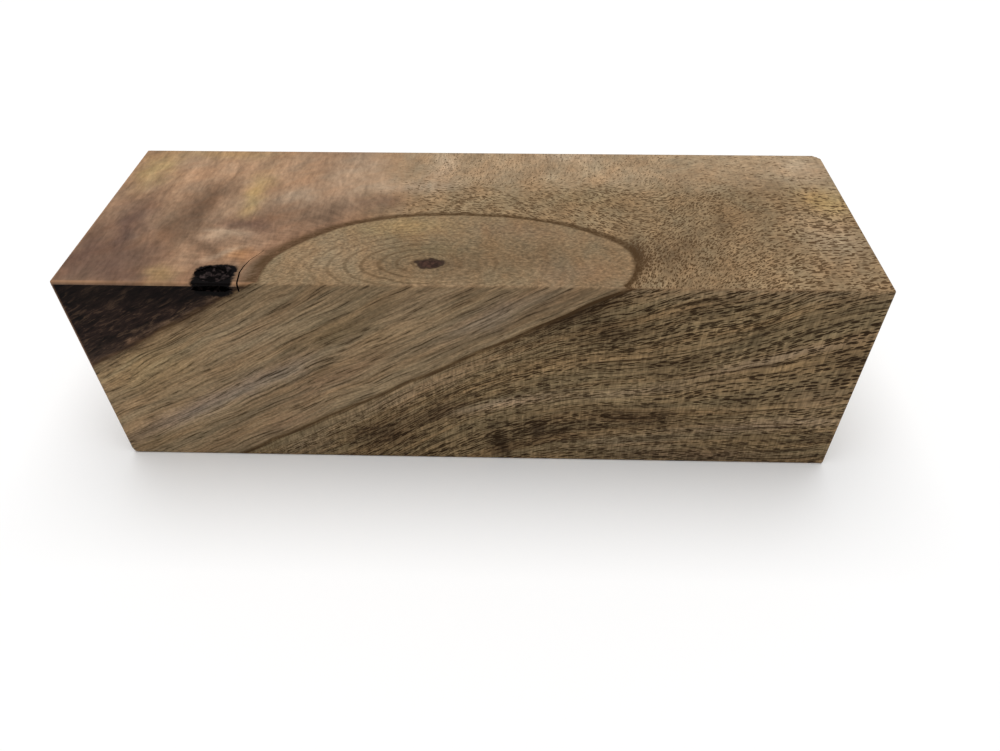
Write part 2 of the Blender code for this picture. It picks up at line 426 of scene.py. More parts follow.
# Stains on the top face: place along and across, reach along and across, turn in degrees, tone, strength
TOP_STAINS = (
    (-45, 14, 24, 9, 0, "blush", 0.75), (-62, 14, 2.5, 6, 0, "gold", 0.55),
    (-49.5, 21, 9, 2, 0, "gold", 0.35), (-40.4, 4.5, 1.6, 6, 0, "gold", 0.75),
    (-32, 4.5, 5, 2.5, 10, "ash", 0.5), (-14, 8.3, 8, 1.6, 3, "ash", 0.6),
    (-49.6, -1.5, 2.4, 7, 6, "smoke", 1.0), (-47.2, 5, 2.0, 5, -15, "smoke", 0.75),
    (-51, -6, 2.2, 4, 15, "smoke", 0.6), (-43.8, 1, 1.8, 5, -10, "blush", 0.6),
    (-54.8, 2, 2.0, 6, 0, "blush", 0.5), (-59.5, -6, 2.4, 8, 5, "plum", 0.85),
    (-64.5, -14, 2.6, 7, 0, "plum", 0.8), (-57.5, -17, 6, 5, 0, "plum", 0.7),
    (-39.5, -4.8, 4, 1.8, -10, "plum", 0.8), (-43.5, -8.6, 3.2, 1.6, 15, "ash", 0.55),
    (-38.6, -14, 1.8, 1.8, 0, "tan", 0.7), (-49.4, -20, 1.8, 2, 0, "gold", 0.6),
    (-47.5, -14, 2, 5, 10, "blush", 0.5), (-16.5, 3, 3.5, 2.6, 20, "plum", 0.45),
    (-27, -1.5, 5, 3, 30, "smoke", 0.45), (-33, 0, 4, 3, 30, "smoke", 0.35),
    (-7, 16, 1.8, 7, -5, "ash", 0.45), (-22, 14, 5, 6, 0, "ash", 0.4),
    (16.8, 20.5, 5, 1.8, 0, "ash", 0.5), (33, -13, 4.5, 5, 0, "umber", 0.45),
    (43, -2, 1.2, 7, -3, "umber", 0.3), (50, 9, 9, 5, 0, "umber", 0.22), (61, -7, 4.5, 7, 0, "ash", 0.3),
    (63, 4, 3.5, 3.5, 0, "gold", 0.55), (62, 17, 5, 4, 0, "ash", 0.4),
    (-35, -18, 1.0, 3.0, 0, "ash", 0.35), (27.6, -12.5, 1.3, 3.4, 4, "soot", 0.8),
    (38, -8, 12, 12, 0, "umber", 0.16), (20, 5, 6, 3, -10, "moss", 0.3),
    (-53, -20.5, 6, 1.2, 0, "plum", 0.5), (-38.2, -20.4, 0.5, 2.2, 0, "ash", 0.9),
    (-37.2, -18, 0.35, 3.6, 0, "umber", 0.7), (-47, -9.8, 2.6, 0.5, -35, "smoke", 0.8),
    (-42.6, -7.2, 3.4, 0.6, -8, "ash", 0.6), (-41, -13.8, 3.4, 0.6, 35, "ash", 0.5),
    (-43.8, -12.6, 3.0, 0.5, -30, "smoke", 0.6),
)
TOP_KNOT_STAINS = (
    (0, -14, 45, 16, 0, "umber", 0.38), (-11.5, -5, 6, 2.2, 5, "gold", 0.3),
    (-23, -13, 7, 5, 20, "blond", 0.35), (-12, -16.5, 2.5, 2.5, 0, "umber", 0.3),
    (-2, -16, 6, 3.6, 0, "umber", 0.4), (13, -14, 4, 3, 0, "umber", 0.28),
    (-6.5, -12, 5, 1.8, 0, "moss", 0.35), (19, -18, 5, 3, 0, "rosy", 0.3),
    (8, -6, 10, 2, -10, "rosy", 0.25),
)
FRONT_KNOT_STAINS = (
    (-57, 23, 8, 4, 30, "gold", 0.22), (-52, 30.6, 20, 1.1, 30.7, "umber", 0.6),
    (-50, 12.8, 17, 1.3, 30, "grey", 0.75), (-33, 22, 12, 1.6, 30, "grey", 0.4),
    (-21, 31, 9, 2.6, 30, "moss", 0.55), (-25, 20, 10, 1.6, 30, "rust", 0.35),
    (-34, 9.5, 6, 1.6, 30, "rust", 0.35), (-9, 37, 8, 2, 30, "blond", 0.3),
    (-37, 30, 7, 3, 30, "blond", 0.3), (-12, 17, 12, 1.1, 31, "moss", 0.4),
    (9, 34.6, 9, 0.9, 30, "umber", 0.45), (4, 35, 8, 1.6, 30, "grey", 0.4),
    (-61, 4, 5, 2, 25, "moss", 0.35),
)
FRONT_STAINS = (
    (14, 35.6, 9, 1.7, 31, "umber", 0.9), (-11, 17.5, 16, 1.5, 29, "blond", 0.6),
    (5, 4.2, 2.4, 3, 0, "soot", 0.85), (11.5, 8.6, 1.4, 2.4, 0, "soot", 0.95),
    (17, 9.5, 5, 1.6, 8, "soot", 0.4), (-17, 7, 5.5, 3, 30, "umber", 0.9),
    (-6, 12.5, 5, 2.2, 30, "umber", 0.75), (15, 7, 9, 3, 0, "umber", 0.4),
    (29, 12, 7, 2.2, 0, "umber", 0.8), (24, 32, 5, 2.8, 0, "soot", 0.55),
    (37, 37, 5, 1.6, 25, "umber", 0.5), (6, 15.2, 7, 0.9, 16, "ash", 0.5),
    (28, 18.4, 12, 0.8, 8, "blond", 0.5), (52, 27, 12, 0.8, 20, "ash", 0.4),
    (64, 26, 2, 5, 0, "umber", 0.55), (64, 7, 3, 2, 0, "umber", 0.5), (54, 10.5, 13, 1.1, 7, "ash", 0.4),
    (30, 5.5, 9, 1.6, 3, "blond", 0.4), (47, 16.5, 2, 3, 0, "umber", 0.4),
    (-32, 3, 6, 2, 30, "blond", 0.4), (60, 17, 4, 3, 0, "blond", 0.3), (35, 25.5, 8, 2, 14, "umber", 0.3),
    (42, 2, 14, 1.5, 0, "plum", 0.4), (17.5, 36.5, 7, 2.0, 31, "soot", 0.75),
)
STAIN_DEPTH = 7.0              # how far a stain goes into the wood, in mm
STAIN_FALL = 0.7               # how fast a stain fades toward its edge
STAIN_GIVE = 3.0               # a stain narrower than this, in mm, wanders less
SMOKY_EDGE = (-26.0, -6.0)     # the smoky wood ends between these places along the block
SMOKY_FOOT = (-8.0, 4.0)       # and between these distances above the branch's pith
BACK_EDGE = (4.0, 14.0)        # the blond wood toward the back starts between these places
TOP_CRUST = 4.0                # from the top face down to the browner walnut tone
BARE_WIDTH = 1.9               # the pores keep off the lower skin in the front face by about this much
BARE_FADE = (22.0, 32.0)       # which fades between these heights
BRIGHTNESS = (0.2126, 0.7152, 0.0722)  # what red, green and blue add to the brightness that the eye sees


def wander(u, v, phase):
    """A slow uneven drift, about a millimetre at most, so that no stain's edge is a drawn ellipse."""
    return (np.sin(0.55 * u + 0.31 * v + phase) + 0.7 * np.sin(-0.23 * u + 0.83 * v + 2.1 * phase)
            + 0.5 * np.sin(1.37 * u + 1.11 * v + 0.7 * phase) + 0.4 * np.sin(1.9 * u - 1.7 * v + phase))


def blend(colours, tone, weight):
    """Mixes a tone into the colours by a weight for every point."""
    return colours + (np.array(linear(TONES[tone])) - colours) * weight[:, None]


def stained(colours, u, v, under, stains):
    """Lays a list of soft stains over the colours. Under says how deep below the face each point lies."""
    for number, (place_u, place_v, reach_u, reach_v, degrees, tone, strength) in enumerate(stains):
        cosine, sine = math.cos(math.radians(degrees)), math.sin(math.radians(degrees))
        give = min(1.0, min(reach_u, reach_v) / STAIN_GIVE)
        off_u = u - place_u + 0.8 * give * wander(u, v, number)
        off_v = v - place_v + 0.5 * give * wander(v, u, number + 3.0)
        lengthwise = (off_u * cosine + off_v * sine) / reach_u
        crosswise = (off_v * cosine - off_u * sine) / reach_v
        weight = strength * np.exp(-STAIN_FALL * (lengthwise ** 2 + crosswise ** 2))
        colours = blend(colours, tone, weight * np.exp(-(under / STAIN_DEPTH) ** 2))
    return colours


def ramp(value, low, high):
    """Goes smoothly from 0 at low to 1 at high."""
    share = np.clip((value - low) / (high - low), 0.0, 1.0)
    return share * share * (3.0 - 2.0 * share)


smoky = (1.0 - ramp(x + 0.8 * wander(x, y, 5.0), *SMOKY_EDGE)) * ramp(across_branch, *SMOKY_FOOT)
toward_back = ramp(y + 0.7 * wander(x, y, 8.0), *BACK_EDGE)
trunk_tone = blend(np.tile(linear(TONES["olive"]), (len(x), 1)), "rosy", smoky)
trunk_tone = blend(trunk_tone, "blond", 0.9 * toward_back * (1.0 - smoky))
trunk_tone = blend(trunk_tone, "walnut", (1.0 - smoky) * ramp(tall - z, 0.0, TOP_CRUST) * (1.0 - toward_back))
trunk_tone = stained(trunk_tone, x, y, tall - z, TOP_STAINS)
trunk_tone = stained(trunk_tone, x, z, y + half_depth, FRONT_STAINS)
branch_tone = np.tile(linear(TONES["knot"]), (len(x), 1))
branch_tone = stained(branch_tone, x, y, tall - z, TOP_KNOT_STAINS)
branch_tone = stained(branch_tone, x, z, y + half_depth, FRONT_KNOT_STAINS)

# How crowded the open pores stand: none above the branch, most where the wood is dark, few beside the skin
dimness = ramp(-(trunk_tone @ np.array(BRIGHTNESS)), -0.20, -0.05)
crowding = (1.0 - smoky) * (1.0 - 0.35 * toward_back) * (0.88 + 0.22 * dimness)
beside_skin = np.exp(-(np.maximum(outside, 0.0) / BARE_WIDTH) ** 2)
crowding *= 1.0 - 0.75 * beside_skin * (1.0 - on_top) * (1.0 - ramp(z, *BARE_FADE))

keep("trunk_tone", "FLOAT_COLOR", np.column_stack([trunk_tone, np.ones(len(x))]))
keep("branch_tone", "FLOAT_COLOR", np.column_stack([branch_tone, np.ones(len(x))]))
keep("crowding", "FLOAT", crowding)
keep("smoky", "FLOAT", smoky)


# The sanded surface
# Sanding to a fine grit left the wood satin, with the open pores as short dark troughs along the fibres.
# To the eye that is a soft dull sheen over a busy grain, with no mirror and no varnish.
def add(tree, kind, feeds=None, **settings):
    """Adds one node, sets it up and feeds its sockets with values or with other nodes' outputs.

    A map range takes its value at 0, its span at 1 and 2 and what that becomes at 3 and 4. A mix takes its
    share at 0, and what it mixes at 2 and 3 for numbers, 4 and 5 for vectors, and 6 and 7 for colours.
    """
    made = tree.nodes.new("ShaderNode" + kind)
    for name, value in settings.items():
        setattr(made, name, value)
    for socket, value in (feeds or {}).items():
        if isinstance(value, bpy.types.NodeSocket):
            tree.links.new(value, made.inputs[socket])
        else:
            made.inputs[socket].default_value = value
    return made


def per_mm(sizes):
    """How often patterns of these sizes, in mm, come in a millimetre."""
    return tuple(1 / size for size in sizes)


# The share of the wood that one pore has, in mm: along the fibres, across them and across the layers. A
# vessel of this wood is 0.2 mm wide, and it is drawn a little wider where it would not show
PORE_SHARE = (1.75, 0.26, 0.26)
TOP_SHARE = (1.30, 0.31, 0.31)         # in the top face
STEEP_SHARE = (0.85, 0.29, 0.29)       # where its fibres turn steeply into the top face
RIGHT_SHARE = (1.75, 0.48, 0.48)       # toward the right end of the top face the pores are coarser
COARSE_FROM = 51.0
TURN_STEP = math.radians(12.0)         # the fibres' turning in the top face is drawn in steps of this
STEEP_TURN = 0.5                       # turned by more than this, in radians, they run steeply into it

# Sizes of the other patterns, in mm in the same order. A real fibre is 0.02 mm thick, too fine to show, so
# the streaks stand for bundles of fibres
WAVER_SIZE = 9.091
DRIFT_SIZE = (12.5, 6.667, 6.667)
LAYER_SIZE = (33.33, 2.381, 7.143)
STRAY_SIZE = 1.429
BRANCH_STREAK = (10.0, 0.3704, 0.3704)
TRUNK_STREAK = (6.25, 0.4545, 0.4545)
TOP_STREAK = (1.667, 0.4545, 0.4545)
LINE_SIZE = (20.0, 0.4167, 1.667)
BAND_SIZE = (33.33, 1.176, 3.333)
BRANCH_FLECK = (0.6667, 0.3333, 0.3333)
RAY_FLECK = (0.4167, 2.5, 3.333)
WRAP_SIZE = (2.381, 7.692, 3.333)
COLLAR_STREAK = (4.0, 0.4545, 4.0)
GRIT_SIZE = (0.5263, 1.25, 0.7143)
SPECK_SIZE = 0.6667
WISP_SIZE = (6.25, 1.333, 1.333)
THREAD_SIZE = (2.5, 0.4167, 0.4167)
# the size of the bark crumbs and of their painted glints
CRUMB_GLINT_SIZE = 0.909
RING_FIRST = 4.05                      # from the pith to the first clear yearly ring, and between rings
RING_GAP = 1.38
RING_FADE = (6.0, 13.0)                # the rings fade between these distances from the pith
PITH_RADIUS = 1.5
PITH_CORE = 1.15

REDDER = (1.05, 0.985, 0.94, 1.0)     # what the layers' change of hue multiplies the tone by
GREYER = (0.96, 1.01, 1.05, 1.0)
PORE_TONE = (*linear("#2a1a08"), 1.0)
TOP_PORE_TONE = (*linear("#4f3a24"), 1.0)
# the arrises' paler tone, partly wear and partly a painted highlight
ARRIS_WEAR_AND_HIGHLIGHT_TONE = (*linear("#b98d68"), 1.0)
SKIN_TONE = (*linear("#49351f"), 1.0)
PITH_TONE = (*linear("#4a342b"), 1.0)
PITH_RIM = (*linear("#2e201a"), 1.0)
BARK_BLACK = (*linear("#070404"), 1.0)
BARK_BROWN = (*linear("#2c1f1a"), 1.0)
BARK_PALE = (*linear("#67503f"), 1.0)
BARK_OLD = (*linear("#45362c"), 1.0)
CRUMB_BLACK = (*linear("#050303"), 1.0)
# the grey-brown of the crumbs, lightened to serve as painted glints
CRUMB_GLINT_GREY = (*linear("#4a3e3c"), 1.0)
WOOD_ROUGHNESS = 0.6
WOOD_SPECULAR = 0.05
BARK_ROUGHNESS = 0.7
BARK_SPECULAR = 0.03
PORE_TROUGH = 0.05 * MM

wood.use_nodes = True
tree = wood.node_tree
shader = tree.nodes["Principled BSDF"]
place = add(tree, "TexCoord").outputs["Object"]
place = add(tree, "VectorMath", {0: place, "Scale": 1 / MM}, operation="SCALE").outputs[0]
fields = {name: add(tree, "Attribute", attribute_name=name).outputs["Fac"]
          for name in ("outside_branch", "bark_over", "bark_behind", "from_arris", "from_pit", "crowding",
                       "smoky", "skin", "on_top", "on_long_side", "turn")}
grains = {name: add(tree, "Attribute", attribute_name=name).outputs["Vector"]
          for name in ("trunk_grain", "branch_grain", "collar")}
tones = {name: add(tree, "Attribute", attribute_name=name).outputs["Color"]
         for name in ("trunk_tone", "branch_tone")}

# The edge of the branch wavers by a fifth of a millimetre, and each point is either in the branch or out
waver = add(tree, "TexNoise", {"Vector": place, "Scale": 1 / WAVER_SIZE, "Detail": 2.0}).outputs[0]
waver = add(tree, "MapRange", {0: waver, 1: 0.3, 2: 0.7, 3: -0.2, 4: 0.2}).outputs[0]
edge = add(tree, "Math", {0: fields["outside_branch"], 1: waver}, operation="ADD").outputs[0]
is_trunk = add(tree, "Math", {0: edge, 1: 0.0}, operation="GREATER_THAN").outputs[0]
grain = add(tree, "Mix", {0: is_trunk, 4: grains["branch_grain"], 5: grains["trunk_grain"]},
            data_type="VECTOR").outputs[1]
tone = add(tree, "Mix", {0: is_trunk, 6: tones["branch_tone"], 7: tones["trunk_tone"]},
           data_type="RGBA").outputs[2]

# The fibres wander a little
slow = add(tree, "VectorMath", {0: grain, 1: per_mm(DRIFT_SIZE)}, operation="MULTIPLY").outputs[0]
drift = add(tree, "TexNoise", {"Vector": slow, "Scale": 1.0, "Detail": 1.0}).outputs["Color"]
bent = add(tree, "VectorMath", {0: drift, 1: (0.0, 2.0, 2.0), 2: grain}, operation="MULTIPLY_ADD").outputs[0]

# Growth layers a few mm thick
layers_at = add(tree, "VectorMath", {0: bent, 1: per_mm(LAYER_SIZE)}, operation="MULTIPLY").outputs[0]
layers = add(tree, "TexNoise", {"Vector": layers_at, "Scale": 1.0, "Detail": 3.0, "Roughness": 0.65})
hue = add(tree, "SeparateColor", {0: layers.outputs["Color"]}).outputs["Green"]
layers = layers.outputs[0]

# In the trunk's top face the fibres turn, a step at a time
top_trunk = add(tree, "Math", {0: fields["on_top"], 1: is_trunk}, operation="MULTIPLY").outputs[0]
close = add(tree, "Mix", {0: top_trunk, 4: bent, 5: place}, data_type="VECTOR").outputs[1]
stray = add(tree, "TexNoise", {"Vector": place, "Scale": 1 / STRAY_SIZE, "Detail": 1.0}).outputs[0]
stray = add(tree, "MapRange", {0: stray, 1: 0.3, 2: 0.7, 3: -0.25, 4: 0.25}).outputs[0]
turned = add(tree, "Math", {0: stray, 1: top_trunk, 2: fields["turn"]}, operation="MULTIPLY_ADD").outputs[0]
turned = add(tree, "Math", {0: turned, 1: top_trunk}, operation="MULTIPLY").outputs[0]
turned = add(tree, "Math", {0: turned, 1: TURN_STEP}, operation="SNAP").outputs[0]
back_turn = add(tree, "Math", {0: turned, 1: -1.0}, operation="MULTIPLY").outputs[0]
close = add(tree, "VectorRotate", {"Vector": close, "Angle": back_turn}, rotation_type="Z_AXIS").outputs[0]
steep = add(tree, "Math", {0: turned, 1: STEEP_TURN}, operation="GREATER_THAN").outputs[0]

# Fibres: fine streaks, longest in the branch
streak = add(tree, "Mix", {0: is_trunk, 4: per_mm(BRANCH_STREAK), 5: per_mm(TRUNK_STREAK)},
             data_type="VECTOR").outputs[1]
streak = add(tree, "Mix", {0: top_trunk, 4: streak, 5: per_mm(TOP_STREAK)}, data_type="VECTOR").outputs[1]
fibres_at = add(tree, "VectorMath", {0: close, 1: streak}, operation="MULTIPLY").outputs[0]
fibres = add(tree, "TexNoise", {"Vector": fibres_at, "Scale": 1.0, "Detail": 3.0,
                                "Roughness": 0.62}).outputs[0]

# On the long sides the trunk shows long dark lines, which are vessels cut lengthwise, and broad pale bands
lines_at = add(tree, "VectorMath", {0: bent, 1: per_mm(LINE_SIZE)}, operation="MULTIPLY").outputs[0]
lines = add(tree, "TexNoise", {"Vector": lines_at, "Scale": 1.0, "Detail": 2.0, "Roughness": 0.5}).outputs[0]
lines = add(tree, "MapRange", {0: lines, 1: 0.57, 2: 0.65, 3: 0.0, 4: 0.75},
            interpolation_type="SMOOTHSTEP").outputs[0]
bands_at = add(tree, "VectorMath", {0: bent, 1: per_mm(BAND_SIZE)}, operation="MULTIPLY").outputs[0]
bands = add(tree, "TexNoise", {"Vector": bands_at, "Scale": 1.0, "Detail": 1.0}).outputs[0]
bands = add(tree, "MapRange", {0: bands, 1: 0.56, 2: 0.66, 3: 0.0, 4: 1.0},
            interpolation_type="SMOOTHSTEP").outputs[0]
clear = add(tree, "Math", {0: 1.0, 1: fields["smoky"]}, operation="SUBTRACT").outputs[0]
for share in (fields["on_long_side"], clear):
    lines = add(tree, "Math", {0: lines, 1: share}, operation="MULTIPLY").outputs[0]
    bands = add(tree, "Math", {0: bands, 1: share}, operation="MULTIPLY").outputs[0]
bands = add(tree, "Math", {0: bands, 1: is_trunk}, operation="MULTIPLY").outputs[0]

# Pores: each is one long cell of a cellular pattern, ragged by the fibres, and fewer in the pale bands
fray = add(tree, "MapRange", {0: fibres, 1: 0.25, 2: 0.75, 3: 0.09, 4: -0.09}, clamp=False).outputs[0]
layered = add(tree, "MapRange", {0: layers, 1: 0.32, 2: 0.66, 3: 1.12, 4: 0.84}).outputs[0]
room = add(tree, "Math", {0: fields["crowding"], 1: layered}, operation="MULTIPLY").outputs[0]
room = add(tree, "Math", {0: room, 1: is_trunk}, operation="MULTIPLY").outputs[0]
band_room = add(tree, "Math", {0: bands, 1: -0.35, 2: 1.0}, operation="MULTIPLY_ADD").outputs[0]
room = add(tree, "Math", {0: room, 1: band_room}, operation="MULTIPLY").outputs[0]
along = add(tree, "SeparateXYZ", {0: place}).outputs[0]
coarse = add(tree, "Math", {0: waver, 1: 12.0, 2: along}, operation="MULTIPLY_ADD").outputs[0]
coarse = add(tree, "Math", {0: coarse, 1: COARSE_FROM}, operation="GREATER_THAN").outputs[0]
coarse = add(tree, "Math", {0: coarse, 1: top_trunk}, operation="MULTIPLY").outputs[0]
cell = per_mm(PORE_SHARE)
for where, share in ((top_trunk, TOP_SHARE), (steep, STEEP_SHARE), (coarse, RIGHT_SHARE)):
    cell = add(tree, "Mix", {0: where, 4: cell, 5: per_mm(share)}, data_type="VECTOR").outputs[1]
cells_at = add(tree, "VectorMath", {0: close, 1: cell}, operation="MULTIPLY").outputs[0]
cells = add(tree, "TexVoronoi", {"Vector": cells_at, "Scale": 1.0, "Randomness": 0.85})
luck = add(tree, "SeparateColor", {0: cells.outputs["Color"]}).outputs[0]
size = add(tree, "MapRange", {0: luck, 1: 0.0, 2: 1.0, 3: 0.42, 4: 0.68}).outputs[0]
size = add(tree, "Math", {0: size, 1: room}, operation="MULTIPLY").outputs[0]
gap = add(tree, "Math", {0: cells.outputs["Distance"], 1: fray}, operation="ADD").outputs[0]
soft = add(tree, "MapRange", {0: top_trunk, 1: 0.0, 2: 1.0, 3: 0.13, 4: 0.17}).outputs[0]
inner = add(tree, "Math", {0: size, 1: soft}, operation="SUBTRACT").outputs[0]
pores = add(tree, "MapRange", {0: gap, 1: size, 2: inner, 3: 0.0, 4: 1.0},
            interpolation_type="SMOOTHSTEP").outputs[0]
vessel = add(tree, "MapRange", {0: fibres, 1: 0.56, 2: 0.68, 3: 0.0, 4: 0.9},
             interpolation_type="SMOOTHSTEP").outputs[0]
vessel = add(tree, "Math", {0: vessel, 1: fields["on_long_side"]}, operation="MULTIPLY").outputs[0]
vessel = add(tree, "Mix", {0: is_trunk, 2: vessel, 3: lines}).outputs[0]
pores = add(tree, "Math", {0: pores, 1: vessel}, operation="MAXIMUM").outputs[0]

# Rays cross the trunk's fibres as a fine ladder of light flecks, and the branch has a fine stipple instead
fleck = add(tree, "Mix", {0: is_trunk, 4: per_mm(BRANCH_FLECK), 5: per_mm(RAY_FLECK)},
            data_type="VECTOR").outputs[1]
flecks_at = add(tree, "VectorMath", {0: bent, 1: fleck}, operation="MULTIPLY").outputs[0]
flecks = add(tree, "TexNoise", {"Vector": flecks_at, "Scale": 1.0, "Detail": 1.0}).outputs[0]
flecks = add(tree, "MapRange", {0: flecks, 1: 0.25, 2: 0.75, 3: 0.66, 4: 1.34}, clamp=False).outputs[0]
flecks = add(tree, "Math", {0: flecks, 1: 1.0}, operation="SUBTRACT").outputs[0]
fleck_share = add(tree, "MapRange", {0: fields["on_top"], 1: 0.0, 2: 1.0, 3: 1.0, 4: 0.3}).outputs[0]
fleck_share = add(tree, "Mix", {0: is_trunk, 2: 0.65, 3: fleck_share}).outputs[0]
flecks = add(tree, "Math", {0: flecks, 1: fleck_share, 2: 1.0}, operation="MULTIPLY_ADD").outputs[0]

# Lightness: layers, fibres, flecks and bands each scale the tone
light = add(tree, "MapRange", {0: layers, 1: 0.3, 2: 0.7, 3: 0.22, 4: -0.22}, clamp=False).outputs[0]
top_knot = add(tree, "Math", {0: fields["on_top"], 1: top_trunk}, operation="SUBTRACT").outputs[0]
even = add(tree, "MapRange", {0: top_knot, 1: 0.0, 2: 1.0, 3: 1.0, 4: 0.4}).outputs[0]
light = add(tree, "Math", {0: light, 1: even, 2: 1.0}, operation="MULTIPLY_ADD").outputs[0]
fine_share = add(tree, "Mix", {0: is_trunk, 2: 2.4, 3: 1.7}).outputs[0]
top_share = add(tree, "Mix", {0: is_trunk, 2: 1.8, 3: 1.5}).outputs[0]
fine_share = add(tree, "Mix", {0: fields["on_top"], 2: fine_share, 3: top_share}).outputs[0]
fine = add(tree, "Math", {0: 0.5, 1: fibres}, operation="SUBTRACT").outputs[0]
fine = add(tree, "Math", {0: fine, 1: fine_share, 2: 1.0}, operation="MULTIPLY_ADD").outputs[0]
band_light = add(tree, "Math", {0: bands, 1: 0.14, 2: 1.0}, operation="MULTIPLY_ADD").outputs[0]
for share in (fine, flecks, band_light):
    light = add(tree, "Math", {0: light, 1: share}, operation="MULTIPLY").outputs[0]

# In the smoky wood above the branch the layers wrap round the branch, and fine streaks stand across them
wraps_at = add(tree, "VectorMath", {0: place, 1: per_mm(WRAP_SIZE)}, operation="MULTIPLY").outputs[0]
wraps = add(tree, "TexNoise", {"Vector": wraps_at, "Scale": 1.0, "Detail": 5.0, "Roughness": 0.62,
                               "Distortion": 0.6}).outputs[0]
wraps = add(tree, "MapRange", {0: wraps, 1: 0.3, 2: 0.7, 3: 0.74, 4: 1.26}, clamp=False).outputs[0]
streaks_at = add(tree, "VectorMath", {0: grains["collar"], 1: per_mm(COLLAR_STREAK)},
                 operation="MULTIPLY").outputs[0]
streaks = add(tree, "TexNoise", {"Vector": streaks_at, "Scale": 1.0, "Detail": 3.0,
                                 "Roughness": 0.6}).outputs[0]
streaks = add(tree, "MapRange", {0: streaks, 1: 0.3, 2: 0.7, 3: -0.22, 4: 0.22}, clamp=False).outputs[0]
close_by = add(tree, "MapRange", {0: fields["outside_branch"], 1: 3.0, 2: 12.0, 3: 1.0, 4: 0.2}).outputs[0]
streaks = add(tree, "Math", {0: streaks, 1: close_by, 2: 1.0}, operation="MULTIPLY_ADD").outputs[0]
smoked = add(tree, "Math", {0: wraps, 1: streaks}, operation="MULTIPLY").outputs[0]
grit_at = add(tree, "VectorMath", {0: place, 1: per_mm(GRIT_SIZE)}, operation="MULTIPLY").outputs[0]
grit = add(tree, "TexNoise", {"Vector": grit_at, "Scale": 1.0, "Detail": 2.0}).outputs[0]
grit = add(tree, "MapRange", {0: grit, 1: 0.3, 2: 0.7, 3: 0.86, 4: 1.14}, clamp=False).outputs[0]
smoked = add(tree, "Math", {0: smoked, 1: grit}, operation="MULTIPLY").outputs[0]
is_smoky = add(tree, "Math", {0: fields["smoky"], 1: is_trunk}, operation="MULTIPLY").outputs[0]
light = add(tree, "Mix", {0: is_smoky, 2: light, 3: smoked}).outputs[0]

# The colour: the tone made lighter and darker, redder and greyer, with the pores dark in it
colour = add(tree, "VectorMath", {0: tone, "Scale": light}, operation="SCALE").outputs[0]
hue = add(tree, "MapRange", {0: hue, 1: 0.35, 2: 0.65, 3: 0.0, 4: 1.0}).outputs[0]
hue = add(tree, "Mix", {0: hue, 6: REDDER, 7: GREYER}, data_type="RGBA").outputs[2]
colour = add(tree, "VectorMath", {0: colour, 1: hue}, operation="MULTIPLY").outputs[0]
darkness = add(tree, "Mix", {0: is_trunk, 2: 0.62, 3: 0.95}).outputs[0]
darkness = add(tree, "Mix", {0: top_trunk, 2: darkness, 3: 0.92}).outputs[0]
pore_tone = add(tree, "Mix", {0: fields["on_top"], 6: PORE_TONE, 7: TOP_PORE_TONE},
                data_type="RGBA").outputs[2]
darkness = add(tree, "Math", {0: pores, 1: darkness}, operation="MULTIPLY").outputs[0]
colour = add(tree, "Mix", {0: darkness, 6: colour, 7: pore_tone}, data_type="RGBA").outputs[2]

# Yearly rings of the branch, clearest on its left and close round the pith
from_pith = add(tree, "VectorMath", {0: grains["branch_grain"], 1: (0.0, 1.0, 1.0)},
                operation="MULTIPLY").outputs[0]
from_pith = add(tree, "VectorMath", {0: from_pith}, operation="LENGTH").outputs["Value"]
ring_wobble = add(tree, "Math", {0: waver, 1: 1.2, 2: from_pith}, operation="MULTIPLY_ADD").outputs[0]
rings = add(tree, "Math", {0: ring_wobble, 1: RING_FIRST}, operation="SUBTRACT").outputs[0]
rings = add(tree, "Math", {0: rings, 1: 2 * math.pi / RING_GAP}, operation="MULTIPLY").outputs[0]
rings = add(tree, "Math", {0: rings}, operation="COSINE").outputs[0]
rings = add(tree, "MapRange", {0: rings, 1: 0.45, 2: 1.0, 3: 0.0, 4: 0.42},
            interpolation_type="SMOOTHSTEP").outputs[0]
ring_fade = add(tree, "MapRange", {0: from_pith, 1: RING_FADE[0], 2: RING_FADE[1], 3: 1.0,
                                   4: 0.25}).outputs[0]
left_of_pith = add(tree, "MapRange", {0: along, 1: -12.0, 2: 0.0, 3: 1.0, 4: 0.45}).outputs[0]
for share in (ring_fade, left_of_pith, fields["on_top"]):
    rings = add(tree, "Math", {0: rings, 1: share}, operation="MULTIPLY").outputs[0]
rings = add(tree, "Mix", {0: is_trunk, 2: rings, 3: 0.0}).outputs[0]
colour = add(tree, "Mix", {0: rings, 6: colour, 7: SKIN_TONE}, data_type="RGBA").outputs[2]

# A thin dark skin lies between branch and trunk, crisp in the top face and softer in the others
skin_from = add(tree, "Math", {0: fields["on_top"], 1: 0.3, 2: -0.65}, operation="MULTIPLY_ADD").outputs[0]
skin_full = add(tree, "Math", {0: fields["on_top"], 1: -0.2, 2: 0.32}, operation="MULTIPLY_ADD").outputs[0]
skin_inner = add(tree, "MapRange", {0: edge, 1: skin_from, 2: skin_full, 3: 0.0, 4: 1.0},
                 interpolation_type="SMOOTHSTEP").outputs[0]
skin_depth = add(tree, "Math", {0: edge, 1: fields["skin"]}, operation="DIVIDE").outputs[0]
skin_outer = add(tree, "MapRange", {0: skin_depth, 1: 0.4, 2: 1.25, 3: 0.92, 4: 0.0},
                 interpolation_type="SMOOTHSTEP").outputs[0]
thin = add(tree, "MapRange", {0: fields["skin"], 1: 0.9, 2: 1.8, 3: 1.0, 4: 0.9}).outputs[0]
patchy = add(tree, "MapRange", {0: fibres, 1: 0.4, 2: 0.62, 3: 0.8, 4: 1.08}).outputs[0]
in_skin = skin_inner
for share in (skin_outer, thin, patchy):
    in_skin = add(tree, "Math", {0: in_skin, 1: share}, operation="MULTIPLY").outputs[0]
colour = add(tree, "Mix", {0: in_skin, 6: colour, 7: SKIN_TONE}, data_type="RGBA").outputs[2]

